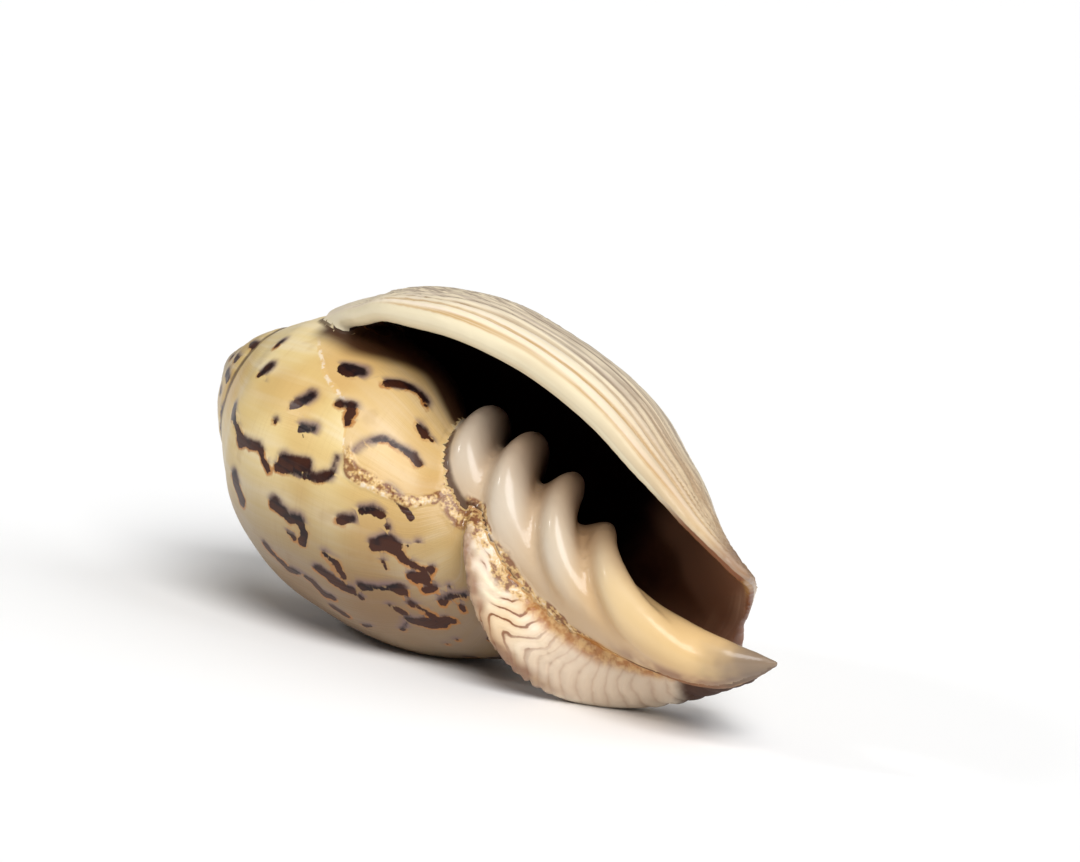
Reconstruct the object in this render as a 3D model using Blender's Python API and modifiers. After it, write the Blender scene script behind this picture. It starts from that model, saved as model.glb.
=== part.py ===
"""A dried volute shell: one coiled shell with a wide aperture, four columellar plaits and a siphonal notch.

The shell grows by one rule. A profile, the growing edge from the suture (0) to the front end (1), turns
about the coiling axis and widens by the same factor each turn. Growth is counted in turns: 0 is the lip, and
earlier stages are negative. The shell is worked out with its apex at the origin and its axis straight down,
and is then laid down the way it rests on a table.
"""

import math

import bmesh
import bpy
import numpy as np
from mathutils import Matrix, Vector

MM = 0.001

# The growth rule.
EXPANSION = 1.74            # widening of the whorl in one turn
FRONT_QUICKENING = 1.56     # the front end draws out this many times as fast as the shoulder
SUTURE_DROP = 17.8 * MM     # apex to the suture at the lip, along the axis
FRONT_DROP = 112.5 * MM     # apex to where the front end would be at the lip, were it not notched
# Distance of the growing edge from the axis, at shares of the way from the suture to the front end.
PROFILE_AT = (0.0, 0.07, 0.16, 0.28, 0.42, 0.58, 0.74, 0.87, 1.0)
PROFILE = tuple(r * MM for r in (13.4, 19.1, 24.1, 26.0, 25.5, 20.8, 13.8, 11.5, 6.5))
SUTURE_STEP = 1.2 * MM      # each whorl's edge stands this proud of the whorl it is laid on
SUTURE_STEP_END = 0.13
SPIRE_TURNS = 3.4           # turns kept above the last one
HIDDEN_START = -1.6         # older growth than this is kept only where the spire shows it
SPIRE_SHARE = 0.3           # share of the profile that the spire keeps

# The blunt tip of the spire.
APEX_SINK = 1.8 * MM        # the oldest whorls are this much flatter than the rule makes them
APEX_REACH = 9.0 * MM
APEX_RADIUS = 2.1 * MM
APEX_DROP = 5.4 * MM

# The fasciole, the swollen band that the notch leaves behind: how far it stands out along the profile.
FASCIOLE_AT = (0.72, 0.79, 0.86, 0.94, 1.0)
FASCIOLE = tuple(r * MM for r in (0.0, 2.8, 7.6, 6.8, 1.2))
FASCIOLE_RISES = (-1.02, -0.86)     # turns over which it rises out of the inner lip
FASCIOLE_FADES = (-0.08, -0.3)      # the newest growth, beside the notch, has none of it
FASCIOLE_FLARE = 0.3                # it flares by this share at the notch
FLARE_TURNS = (-0.6, -0.36)
CANAL_SHARE = 0.8                   # share of the swelling that the inside of the canal follows at the notch

# Where the lip stands, in turns, at shares of the profile: from 0.73 on it is the edge of the siphonal notch.
LIP_AT = (0.0, 0.15, 0.35, 0.55, 0.66, 0.73, 0.76, 0.8, 0.84, 0.88, 0.92, 0.96, 1.0)
LIP = (0.0, 0.03, 0.0, 0.0, 0.0, -0.02, -0.12, -0.25, -0.316, -0.335, -0.325, -0.312, -0.318)

# The wall.
WALL = 2.4 * MM             # thickness near the lip
THINNEST = 0.55             # the inner whorls keep this share of it
LIP_SWELL = 0.45            # the lip itself is thicker by this share
LIP_SWELL_TURNS = 0.1
LIP_SWELL_SHARES = (0.65, 0.4)      # the swelling is full up to the second share, and ends at the first
LIP_ROUND = 0.35            # how far the two sides of the lip's rim close in on its middle
NOTCH_THIN = 0.3            # the wall is thinner by this share round the notch
NOTCH_THIN_SHARES = (0.5, 0.72)
SLOPE_STEP = 0.002          # step in turns and in share by which a surface's slope is measured

# The columella: a tapering pillar on the axis, bent towards the beak at its end. Lengths are in mm.
FACING = math.radians(311.4)    # the side of the shell on which the aperture gapes
PILLAR_AT = (14.0, 30.0, 44.0, 52.0, 60.0, 66.0, 72.0, 78.0, 84.0, 87.5, 89.5)
PILLAR_RADIUS = (2.0, 6.5, 7.8, 7.4, 5.9, 4.9, 4.2, 3.8, 3.4, 2.8, 1.6)
PILLAR_SIDE = (0.0, 0.0, 0.0, 0.0, 0.0, -0.1, -0.1, 0.5, 2.0, 4.3, 6.6)
PILLAR_DEPTH = (0.0, 0.0, 0.0, 0.0, 0.0, 0.0, 0.3, 0.8, 1.8, 2.6, 3.4)
PILLAR_FLAT = 0.25          # it is this much slimmer where the fasciole wraps it
PILLAR_FLAT_SIDE = math.radians(-50)    # past the facing side
PILLAR_END = 20             # the higher, the more abruptly both ends of the pillar close

# The plaits: where each crosses the side of the pillar, its height, and how fast it winds to the front.
PLAIT_DROPS = (40.2, 47.0, 54.6, 62.6)
PLAIT_HEIGHTS = (5.2, 5.2, 4.3, 3.0)
PLAIT_HALF_WIDTH = 3.7
PLAIT_CREST = 1.2           # the higher, the sharper the crests
PLAIT_WINDING = 1.15
PLAIT_FROM = math.radians(250)      # angles past the facing side between which the plaits stand
PLAIT_FULL = math.radians(75)
PLAIT_ENDS = tuple(math.radians(a) for a in (-5, -45, -65, -80))

# How finely it is made.
STEPS_PER_TURN = 64
BODY_ROWS = 80
ROWS_AT = (0.0, 0.7, 1.0)   # rows lie closer together on the fasciole
ROWS = (0.0, 0.78, 1.0)
APEX_MESH = (24, 16)        # segments and rings
PILLAR_MESH = (64, 110)
PILLAR_RINGS_AT = (0.0, 0.2, 0.85, 1.0)     # rings lie closer together along the plaits
PILLAR_RINGS = (14.0, 36.0, 78.0, 89.5)
FUSE_SIZE = 0.7 * MM        # grain at which wall and columella are grown together
KEPT_FACES = 0.09           # share of the faces kept after that
MERGE = 0.001 * MM          # corners closer than this are one

# How it lies: on the side of the shell at this angle, front end a little down, on a flat worn on its belly.
LIES_ON = math.radians(197)
NOSE_DOWN = math.radians(12.2)
WORN_FLAT = 0.35 * MM


def clear_scene():
    """Start from nothing."""
    for thing in list(bpy.data.objects):
        bpy.data.objects.remove(thing, do_unlink=True)


def smooth_curve(at, values):
    """A smooth curve through a few points, without overshoot, as a function of numpy arrays."""
    at = np.array(at, float)
    values = np.array(values, float)
    rise = np.diff(values) / np.diff(at)
    slope = np.zeros(len(at))
    slope[0] = rise[0]
    slope[-1] = rise[-1]
    for i in range(1, len(at) - 1):
        if rise[i - 1] * rise[i] > 0:
            slope[i] = 2 * rise[i - 1] * rise[i] / (rise[i - 1] + rise[i])

    def curve(x):
        x = np.clip(x, at[0], at[-1])
        i = np.clip(np.searchsorted(at, x, side="right") - 1, 0, len(at) - 2)
        width = at[i + 1] - at[i]
        s = (x - at[i]) / width
        start = (1 + 2 * s) * (1 - s) ** 2 * values[i] + s * (1 - s) ** 2 * width * slope[i]
        end = s * s * (3 - 2 * s) * values[i + 1] - s * s * (1 - s) * width * slope[i + 1]
        return start + end

    return curve


def smooth_step(start, end, x):
    """0 before start, 1 after end, smooth between."""
    x = np.clip((x - start) / (end - start), 0, 1)
    return x * x * (3 - 2 * x)


profile_radius = smooth_curve(PROFILE_AT, PROFILE)
fasciole_rise = smooth_curve(FASCIOLE_AT, FASCIOLE)
lip_place = smooth_curve(LIP_AT, LIP)
row_share = smooth_curve(ROWS_AT, ROWS)
SUTURE_SHARE = (EXPANSION - 1) * SUTURE_DROP / (FRONT_DROP - SUTURE_DROP)


def surface_point(turns, share, swelling):
    """A point of the rule's surface for a growth in turns and a share along the profile (numpy arrays)."""
    front = np.clip((share - SUTURE_SHARE) / (1 - SUTURE_SHARE), 0, 1)
    growth = EXPANSION ** (turns * (1 + (FRONT_QUICKENING - 1) * front ** 2))
    radius = (profile_radius(share) + swelling) * growth
    drop = (SUTURE_DROP + (FRONT_DROP - SUTURE_DROP) * share) * growth
    drop = drop + APEX_SINK * np.exp(-(drop / APEX_REACH) ** 2)
    angle = -2 * math.pi * turns
    return np.stack([radius * np.cos(angle), radius * np.sin(angle), -drop], -1)


def fasciole_swelling(turns, share):
    """How far the fasciole lifts the outside of the wall."""
    flare = 1 + FASCIOLE_FLARE * smooth_step(*FLARE_TURNS, turns)
    kept = smooth_step(*FASCIOLE_FADES, turns)
    return fasciole_rise(share) * smooth_step(*FASCIOLE_RISES, turns) * flare * kept


def outside_point(turns, share):
    """The outside of the wall, with its step at the suture and the fasciole."""
    step = SUTURE_STEP * np.clip(1 - share / SUTURE_STEP_END, 0, 1) ** 1.5
    return surface_point(turns, share, fasciole_swelling(turns, share) + step)


def canal_point(turns, share):
    """The smooth surface that the cavity follows: it takes up the fasciole only at the open canal."""
    open_end = CANAL_SHARE * smooth_step(*FLARE_TURNS, turns)
    return surface_point(turns, share, open_end * fasciole_swelling(turns, share))


def wall_thickness(turns, share):
    """The wall grows thicker with the shell and swells at the lip."""
    to_lip = turns - lip_place(share)
    at_lip = smooth_step(-LIP_SWELL_TURNS, 0, to_lip) * smooth_step(*LIP_SWELL_SHARES, share)
    at_notch = smooth_step(*FLARE_TURNS, turns) * smooth_step(*NOTCH_THIN_SHARES, share)
    thin = 1 - NOTCH_THIN * at_notch
    return WALL * (1 + LIP_SWELL * at_lip) * thin * np.maximum(EXPANSION ** turns, THINNEST)


def inside_point(turns, share):
    """The cavity's side of the wall: a wall's thickness in from the smooth surface."""
    before = np.clip(share - SLOPE_STEP, 0, 1)
    after = np.clip(share + SLOPE_STEP, 0, 1)
    along_profile = canal_point(turns, after) - canal_point(turns, before)
    along_growth = canal_point(turns + SLOPE_STEP, share) - canal_point(turns - SLOPE_STEP, share)
    inward = np.cross(along_profile, along_growth)
    inward /= np.linalg.norm(inward, axis=1)[:, None]
    return canal_point(turns, share) + inward * wall_thickness(turns, share)[:, None]


def wall():
    """The coiled wall: its outside and its inside as two grids over growth and profile, joined at their rims.

    The two grids have the same corners in the same order, so a corner of the inside comes a whole grid later.
    """
    first = -1.0 - SPIRE_TURNS
    columns = round((1 + SPIRE_TURNS) * STEPS_PER_TURN)
    bm = bmesh.new()
    sides = []
    for _ in range(2):
        sides.append(bmesh.ops.create_grid(bm, x_segments=columns, y_segments=BODY_ROWS, size=1.0)["verts"])
    spot = np.array([v.co for v in sides[0]]) / 2 + 0.5
    share = row_share(spot[:, 1])
    turns = first + (lip_place(share) - first) * spot[:, 0]
    outside = outside_point(turns, share)
    inside = inside_point(turns, share)
    at_lip = (spot[:, 0] > 1 - 0.5 / columns)[:, None] * LIP_ROUND
    middle = (outside + inside) / 2
    for verts, points in zip(sides, (outside, inside)):
        for vert, point in zip(verts, points + (middle - points) * at_lip):
            vert.co = point
    bm.verts.index_update()
    hidden = []
    for face in bm.faces:
        spots = [v.index % len(spot) for v in face.verts]
        if turns[spots].max() < HIDDEN_START and share[spots].min() > SPIRE_SHARE:
            hidden.append(face)
    bmesh.ops.delete(bm, geom=hidden, context="FACES_ONLY")
    bm.verts.ensure_lookup_table()
    for edge in [e for e in bm.edges if e.is_boundary and e.verts[0].index < len(spot)]:
        start, end = edge.verts
        bm.faces.new((start, end, bm.verts[end.index + len(spot)], bm.verts[start.index + len(spot)]))
    bmesh.ops.delete(bm, geom=[v for v in bm.verts if not v.link_faces], context="VERTS")
    bmesh.ops.recalc_face_normals(bm, faces=bm.faces)
    mesh = bpy.data.meshes.new("wall")
    bm.to_mesh(mesh)
    bm.free()
    return bpy.data.objects.new("wall", mesh)


def protoconch():
    """The blunt first whorl at the apex."""
    bm = bmesh.new()
    bmesh.ops.create_uvsphere(bm, u_segments=APEX_MESH[0], v_segments=APEX_MESH[1], radius=APEX_RADIUS)
    bmesh.ops.translate(bm, verts=bm.verts, vec=(0, 0, -APEX_DROP))
    mesh = bpy.data.meshes.new("protoconch")
    bm.to_mesh(mesh)
    bm.free()
    return bpy.data.objects.new("protoconch", mesh)


def plait_rise(past, drop):
    """How far the plaits stand out of the pillar in mm, for an angle past the facing side and a drop."""
    unrolled = (past + math.pi / 2) % (2 * math.pi) - math.pi / 2
    turns_on = (math.pi / 2 - unrolled) / (2 * math.pi)
    at_side = drop / EXPANSION ** (PLAIT_WINDING * turns_on)
    rise = 0.0
    for place, height, end in zip(PLAIT_DROPS, PLAIT_HEIGHTS, PLAIT_ENDS):
        away = abs(at_side - place) / PLAIT_HALF_WIDTH
        if away < 1:
            strength = smooth_step(end, PLAIT_FULL, unrolled) * smooth_step(PLAIT_FROM, math.pi, unrolled)
            rise += height * math.cos(away * math.pi / 2) ** PLAIT_CREST * float(strength)
    return rise


def pillar():
    """The columella: a ball drawn out along the axis, with the plaits as slanting ridges round it."""
    bm = bmesh.new()
    bmesh.ops.create_uvsphere(bm, u_segments=PILLAR_MESH[0], v_segments=PILLAR_MESH[1], radius=1.0)
    radius = smooth_curve(PILLAR_AT, PILLAR_RADIUS)
    side = smooth_curve(PILLAR_AT, PILLAR_SIDE)
    depth = smooth_curve(PILLAR_AT, PILLAR_DEPTH)
    ring = smooth_curve(PILLAR_RINGS_AT, PILLAR_RINGS)
    for vert in bm.verts:
        angle = math.atan2(vert.co.y, vert.co.x)
        way = math.acos(max(-1.0, min(1.0, vert.co.z))) / math.pi
        drop = float(ring(way))
        slim = 1 - PILLAR_FLAT * max(0.0, math.cos(angle - FACING - PILLAR_FLAT_SIDE))
        wide = float(radius(drop)) * slim + plait_rise(angle - FACING, drop)
        wide *= math.sqrt(max(0.0, 1 - (2 * way - 1) ** PILLAR_END))
        point = Vector((wide * math.cos(angle), wide * math.sin(angle), -drop))
        point += float(side(drop)) * Vector((-math.sin(FACING), math.cos(FACING), 0))
        point -= float(depth(drop)) * Vector((math.cos(FACING), math.sin(FACING), 0))
        vert.co = point * MM
    bmesh.ops.recalc_face_normals(bm, faces=bm.faces)
    mesh = bpy.data.meshes.new("pillar")
    bm.to_mesh(mesh)
    bm.free()
    return bpy.data.objects.new("pillar", mesh)


def grown_together(parts):
    """One closed body from the overlapping parts."""
    bm = bmesh.new()
    for part in parts:
        graph = bpy.context.evaluated_depsgraph_get()
        mesh = bpy.data.meshes.new_from_object(part.evaluated_get(graph))
        bm.from_mesh(mesh)
        bpy.data.meshes.remove(mesh)
        bpy.data.objects.remove(part, do_unlink=True)
    mesh = bpy.data.meshes.new("volute_shell")
    bm.to_mesh(mesh)
    bm.free()
    shell = bpy.data.objects.new("volute_shell", mesh)
    fuse = shell.modifiers.new("fuse", "REMESH")
    fuse.mode = "VOXEL"
    fuse.voxel_size = FUSE_SIZE
    ease = shell.modifiers.new("ease", "SMOOTH")
    ease.iterations = 2
    ease.factor = 0.5
    thin = shell.modifiers.new("thin out", "DECIMATE")
    thin.ratio = KEPT_FACES
    return shell


def applied(obj):
    """The mesh of an object with its modifiers carried out, in place of the object's own."""
    graph = bpy.context.evaluated_depsgraph_get()
    mesh = bpy.data.meshes.new_from_object(obj.evaluated_get(graph))
    obj.modifiers.clear()
    obj.data = mesh
    return mesh


def lay_down(mesh):
    """Turn the shell the way it rests, wear the flat, and put the middle of its underside on the origin."""
    upward = Vector((-math.cos(LIES_ON) * math.cos(NOSE_DOWN), -math.sin(LIES_ON) * math.cos(NOSE_DOWN),
                     math.sin(NOSE_DOWN)))
    forward = Vector((0, 0, -1))
    forward = (forward - forward.dot(upward) * upward).normalized()
    turn = Matrix((forward, upward.cross(forward), upward)).to_4x4()
    bm = bmesh.new()
    bm.from_mesh(mesh)
    bmesh.ops.transform(bm, matrix=turn, verts=bm.verts)
    floor = min(v.co.z for v in bm.verts) + WORN_FLAT
    everything = bm.verts[:] + bm.edges[:] + bm.faces[:]
    bmesh.ops.bisect_plane(bm, geom=everything, dist=MERGE, plane_co=(0, 0, floor), plane_no=(0, 0, -1),
                           clear_outer=True)
    rim = [e for e in bm.edges if e.is_boundary]
    bmesh.ops.edgenet_fill(bm, edges=rim)
    bmesh.ops.triangulate(bm, faces=bm.faces)
    bmesh.ops.recalc_face_normals(bm, faces=bm.faces)
    low = Vector([min(v.co[k] for v in bm.verts) for k in range(3)])
    high = Vector([max(v.co[k] for v in bm.verts) for k in range(3)])
    middle = Vector(((low.x + high.x) / 2, (low.y + high.y) / 2, low.z))
    bmesh.ops.translate(bm, verts=bm.verts, vec=-middle)
    bm.to_mesh(mesh)
    bm.free()
    mesh.shade_smooth()


def shell_material():
    """Cream porcelain-like shell."""
    material = bpy.data.materials.new("cream shell")
    material.use_nodes = True
    surface = material.node_tree.nodes["Principled BSDF"]
    surface.inputs["Base Color"].default_value = (0.62, 0.47, 0.29, 1.0)
    surface.inputs["Roughness"].default_value = 0.32
    surface.inputs["Metallic"].default_value = 0.0
    return material


def main():
    clear_scene()
    volute = bpy.data.collections.new("volute")
    bpy.context.scene.collection.children.link(volute)
    parts = [wall(), pillar(), protoconch()]
    for part in parts:
        volute.objects.link(part)
    shell = grown_together(parts)
    volute.objects.link(shell)
    lay_down(applied(shell))
    shell.data.materials.append(shell_material())


main()
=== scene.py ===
"""A dried volute shell on a pale floor, grown by one rule, fused, carved and coloured."""

import math
import random
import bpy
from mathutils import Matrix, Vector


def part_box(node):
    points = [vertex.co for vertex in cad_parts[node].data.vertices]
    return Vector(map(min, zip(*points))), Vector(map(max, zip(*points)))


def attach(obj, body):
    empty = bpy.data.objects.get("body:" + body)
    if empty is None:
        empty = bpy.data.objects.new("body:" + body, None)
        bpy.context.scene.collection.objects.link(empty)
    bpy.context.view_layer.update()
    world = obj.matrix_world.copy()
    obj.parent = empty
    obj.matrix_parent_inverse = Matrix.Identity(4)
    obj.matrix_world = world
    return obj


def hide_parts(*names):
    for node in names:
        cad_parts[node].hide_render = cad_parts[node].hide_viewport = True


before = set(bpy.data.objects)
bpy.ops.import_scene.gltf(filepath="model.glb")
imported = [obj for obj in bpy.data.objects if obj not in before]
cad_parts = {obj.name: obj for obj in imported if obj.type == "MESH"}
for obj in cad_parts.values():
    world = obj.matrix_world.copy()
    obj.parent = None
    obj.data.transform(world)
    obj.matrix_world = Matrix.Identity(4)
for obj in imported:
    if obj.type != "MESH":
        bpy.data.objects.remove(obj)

from types import SimpleNamespace

import bmesh
import bpy
import numpy as np
from bpy.props import FloatProperty, FloatVectorProperty, IntProperty, PointerProperty
from mathutils import Matrix, Vector
from mathutils.kdtree import KDTree

bl_info = {
    "name": "Volute Shell",
    "version": (1, 0, 0),
    "blender": (4, 5, 0),
    "location": "View3D > Sidebar > Volute",
    "description": "Grows a volute shell by its rule of growth and sets it on a pale floor",
    "category": "Add Mesh",
}

MM = 0.001
IN_MM = 1 / MM
TURN = 2 * math.pi
NODE = "volute_shell"
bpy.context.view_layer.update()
LOW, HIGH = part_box(NODE)

# The growing edge: distance from the axis (mm) at shares of the way from the suture to the front end.
PROFILE = ((0.0, 13.4), (0.07, 19.1), (0.16, 24.1), (0.28, 26.0), (0.42, 25.5), (0.58, 20.8), (0.74, 13.8),
           (0.87, 11.5), (1.0, 6.5))
# How far the fasciole stands out (mm), and where the lip stands (turns), at shares of the same way.
FASCIOLE = ((0.0, 0.0), (0.74, 0.0), (0.81, 2.8), (0.875, 7.6), (0.945, 6.8), (1.0, 1.2))
LIP = ((0.0, 0.012), (0.08, 0.024), (0.2, 0.017), (0.35, 0.002), (0.6, 0.0), (0.64, -0.006), (0.67, -0.018),
       (0.7, -0.032), (0.74, -0.052), (0.767, -0.098), (0.79, -0.166), (0.81, -0.248), (0.825, -0.288),
       (0.85, -0.31), (0.89, -0.33), (0.93, -0.325), (0.97, -0.31), (1.0, -0.312))
FASCIOLE_DRIFT = 0.03           # it lies nearer the front end on older growth, by this share
FASCIOLE_DRIFTS = (-0.5, -0.7)
FASCIOLE_RISES = (-0.95, -0.82)
FASCIOLE_FADES = (-0.08, -0.3)
FASCIOLE_FLARE = 0.3
FLARE_TURNS = (-0.6, -0.36)
CANAL_SHARE = 0.8
SUTURE_STEP_END = 0.13
EXPANSION = 1.74                # growth in one turn
SPIRE_TURNS = 3.4
SPIRE_FROM = (-1.75, -1.55)     # older growth keeps only the share of the profile that the spire shows
SPIRE_SHARE = 0.3
SPIRE_SWELLING = 2.2 * MM
SPIRE_SWELLS = (-1.1, -1.6)
THINNEST = 0.55
LIP_SWELL_TURNS = 0.1
LIP_SWELL_SHARES = (0.65, 0.4)
NOTCH_THIN = 0.36
NOTCH_THIN_SHARES = (0.5, 0.72)
CORNER_THIN = 0.38
CORNER_SHARES = (0.2, 0.02)
CORNER_TURNS = (-0.3, -0.05)
COLUMN_CROWDING = 1.6           # columns lie closer together towards the lip
CLOSING_COLUMNS = 4             # the sheet closes over these at the tip
WELD = 2e-5
ROUND_REACH = 0.6               # the lip's rim is round over this share of its thickness
TURN_LENGTH = 150 * MM          # length of the last turn at the shoulder
LAYER_LENGTH = 1.9 * MM         # width of a layer behind the lip
LAYER_WANDER = 1.7              # how far the layers stray, in layers
PARTING = 3 * MM                # the outside's own swelling starts over this way behind the lip

# The spire's blunt tip.
APEX_SINK = 1.2 * MM
APEX_REACH = 9.0 * MM
APEX_RADIUS = 2.1 * MM
APEX_DROP = 5.4 * MM

# The columella, in mm down the axis.
FACING = math.radians(311.4)
PILLAR_END = 90.1
PILLAR_RINGS = ((0.0, 14.0), (0.2, 36.0), (0.85, 78.0), (1.0, 90.1))
PILLAR_RADIUS = ((14.0, 2.0), (30.0, 6.5), (44.0, 7.8), (52.0, 7.4), (60.0, 5.9), (66.0, 4.9), (72.0, 4.2),
                 (78.0, 3.8), (84.0, 3.3), (87.5, 2.3), (90.1, 0.8))
PILLAR_SIDE = ((14.0, 0.0), (60.0, 0.0), (66.0, -0.1), (72.0, -0.1), (78.0, 0.4), (84.0, 1.7), (87.5, 3.6),
               (90.1, 5.9))
PILLAR_DEPTH = ((14.0, 0.0), (66.0, 0.0), (72.0, 0.3), (78.0, 0.8), (84.0, 1.8), (87.5, 2.6), (90.1, 3.5))
PILLAR_FLAT = 0.25
PILLAR_FLAT_SIDE = math.radians(-50)
PILLAR_CLOSING = 20
PLAITS = ((40.2, 5.2, -5), (47.0, 5.2, -35), (54.6, 4.4, -50), (62.6, 3.2, -80))
PLAIT_BACK = (3.7, 2.7)          # half width (mm) towards the spire, at the aperture's edge and on the face
PLAIT_FRONT = (3.7, 5.0)
LAST_PLAIT_FRONT = 10.0
PLAIT_LEANS = (math.radians(80), math.radians(30))
PLAIT_CREST = 1.2
PLAIT_WINDING = 1.15
PLAIT_FROM = math.radians(250)
PLAIT_FULL = math.radians(75)

# How it lies.
LIES_ON = math.radians(197)
NOSE_DOWN = math.radians(12.2)
WORN_FLAT = 0.35 * MM
EXPANSION_AT_PLAITS = EXPANSION ** PLAIT_WINDING
CARRIED = ("growth", "share", "inside", "columella", "behind_lip", "crest")
SOFTENED = ("inside", "columella", "suture", "callus")
FIELDS = (*CARRIED, "mark", "mark_older", "suture", "callus")

# Titles of the trees' inputs, which are also those of the sizes that a user can change.
RULE_NUMBERS = ("Expansion", "Front quickening", "Suture drop", "Front drop", "Wall", "Lip swelling",
                "Suture step", "Fasciole", "Plaits")
RULE_COUNTS = ("Columns", "Rows", "Columella segments", "Columella rings")
RELIEF_NUMBERS = ("Lamella height", "Lip layer height", "Rest height", "Callus height")

# The skin: its fewest faces, how it is smoothed, and how far (mm) from a seam its number is kept.
FEWEST_FACES = 10000
SMOOTHING = 0.5
SMOOTHING_ROUNDS = 2
BLUR_ROUNDS = 3
SUTURE_REACH = 5.0
CALLUS_REACH = 8.0
WHORLS_APART = 0.4              # turns between the two sides of a suture
UNMARKED = -4.0                 # depth (mm) in a mark where there is none
MARK_TURNS = 0.35               # a mark shows no farther than this from its start
GROWTH_WEIGHT = 6               # growth counts more than share where the nearest vertex is sought

# Noises (cycles per metre) that the relief and the colours share.
COARSE, MID, FINE = 70.0, 260.0, 900.0
LAMELLA_TURNS = 0.021           # width of a lamella of the fasciole
CHEVRON_TURNS = 0.036           # width of a chevron line where it starts
ZONE_EDGE = (0.42, 0.58)        # where the colours of the wall, the inside and the columella meet
BARE_EDGE = (0.2, 0.8)          # the same for the relief

# Marks: half width (hundredths of a mm), then a path of points (thousandths of a turn of growth before the
# lip, thousandths of the profile).
STROKES = (
    (50, (922, 110), (932, 112)), (55, (872, 135), (889, 145)), (45, (1930, 80), (1920, 120)),
    (40, (1885, 50), (1875, 90)), (45, (1830, 50), (1825, 100)), (45, (1785, 50), (1780, 80)),
    (30, (2880, 60)), (30, (865, 160)), (70, (868, 285), (882, 300)), (30, (860, 268), (868, 285)),
    (75, (845, 315), (853, 345)), (30, (838, 335)), (25, (835, 240)),
    (45, (893, 370), (903, 400), (888, 410), (877, 415)), (110, (935, 325), (945, 360)),
    (55, (955, 430), (975, 460), (985, 490), (990, 525)), (30, (985, 540)), (55, (947, 565), (945, 585)),
    (35, (950, 620)),
    (24, (852, 455), (870, 470), (885, 495), (893, 515), (892, 545), (897, 565), (900, 590), (897, 615)),
    (65, (812, 90), (803, 120)),
    (40, (803, 120), (793, 165), (797, 200), (800, 230), (790, 250), (785, 265)),
    (80, (803, 300), (805, 330), (810, 360)), (40, (793, 290), (800, 360), (806, 400), (818, 430)),
    (20, (820, 430), (840, 435)), (90, (742, 160), (725, 190)),
    (75, (752, 300), (748, 335), (750, 370), (735, 383), (727, 383)), (35, (728, 330), (730, 350)),
    (40, (690, 255), (675, 305), (680, 345), (675, 375), (665, 395), (667, 420)),
    (60, (700, 405), (695, 440), (688, 468), (690, 485)),
    (65, (697, 510), (700, 550), (700, 575), (703, 595)), (50, (727, 440), (720, 460)),
    (30, (720, 460), (705, 475)), (50, (775, 475), (782, 498)), (60, (795, 520), (803, 540), (798, 558)),
    (40, (835, 560), (830, 600), (815, 630)), (30, (785, 580)), (70, (757, 555), (768, 575), (763, 598)),
    (30, (757, 610), (745, 625), (735, 645)), (22, (738, 568), (730, 570)), (45, (725, 630), (717, 650)),
    (30, (703, 650), (703, 670)), (40, (680, 670), (692, 700), (690, 735)), (40, (680, 500)),
    (60, (650, 575), (645, 600), (640, 625), (637, 650)), (25, (672, 555), (660, 575)),
    (35, (630, 545), (640, 570)), (30, (675, 605), (665, 625), (650, 640), (637, 660)),
    (35, (630, 460), (633, 480)), (35, (645, 400), (638, 430)), (20, (595, 600)), (20, (600, 630)),
    (20, (770, 625)), (22, (775, 650)), (25, (708, 700)), (20, (740, 675)), (18, (670, 700), (660, 705)),
)

# The edge of the glaze laid on the wall across from the lip: turns of growth at shares of the profile.
GLAZE_EDGE = ((0.1, -0.985), (0.19, -0.955), (0.25, -0.93), (0.31, -0.91), (0.39, -0.897), (0.44, -0.85),
              (0.5, -0.829), (0.6, -0.829), (0.66, -0.848), (0.72, -0.9))
CRUST_FROM = 0.43

# Marks drawn by chance: the draw's seed, bands (hundredths of a turn) between shares, and loose spots.
DICE_SEED = 11
BANDS = (-58, -4, 6)
BAND_SHARES = (0.08, 0.74)
BAND_SHOWS = 0.72
ZIGZAG = 0.008
LOOSE_SPOTS = 70
SPIRE_SPOTS = 26

CAMERA_PLACE = (0.4975, -0.5659, 0.1706)
CAMERA_TARGET = (0.00162, 0.00351, 0.02836)
CAMERA_LEAN = 9.05
LENS = 220.1
SENSOR = 36.0
LAMPS = (("key", (0.56, -0.44, 0.76), 2.9, 40), ("back", (0.6, 0.45, 0.8), 1.0, 50),
         ("glint", (-0.5, -0.7, 0.5), 0.3, 7))
SKY_COLOUR = (1.0, 1.0, 1.0, 1.0)
SKY_STRENGTH = 0.16
FLOOR_SIZE = 6.0
FLOOR_COLOUR = (0.95, 0.95, 0.95, 1.0)
FLOOR_ROUGHNESS = 0.8


def both_ways(operation):
    """A step of maths as one of Number's operators, and its reflected form."""
    return lambda a, b: a.maker.math(operation, a, b), lambda a, b: a.maker.math(operation, b, a)


class Number:
    """A number that varies over a surface: one output of a node, with Python's operators."""
    __add__, __radd__ = both_ways("ADD")
    __sub__, __rsub__ = both_ways("SUBTRACT")
    __mul__, __rmul__ = both_ways("MULTIPLY")
    __truediv__, __rtruediv__ = both_ways("DIVIDE")
    __pow__, __rpow__ = both_ways("POWER")
    __mod__, __rmod__ = both_ways("FLOORED_MODULO")

    def __init__(self, maker, socket):
        self.maker = maker
        self.socket = socket

    def __neg__(self):
        return self * -1.0

    def __abs__(self):
        return self.maker.math("ABSOLUTE", self)


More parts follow.
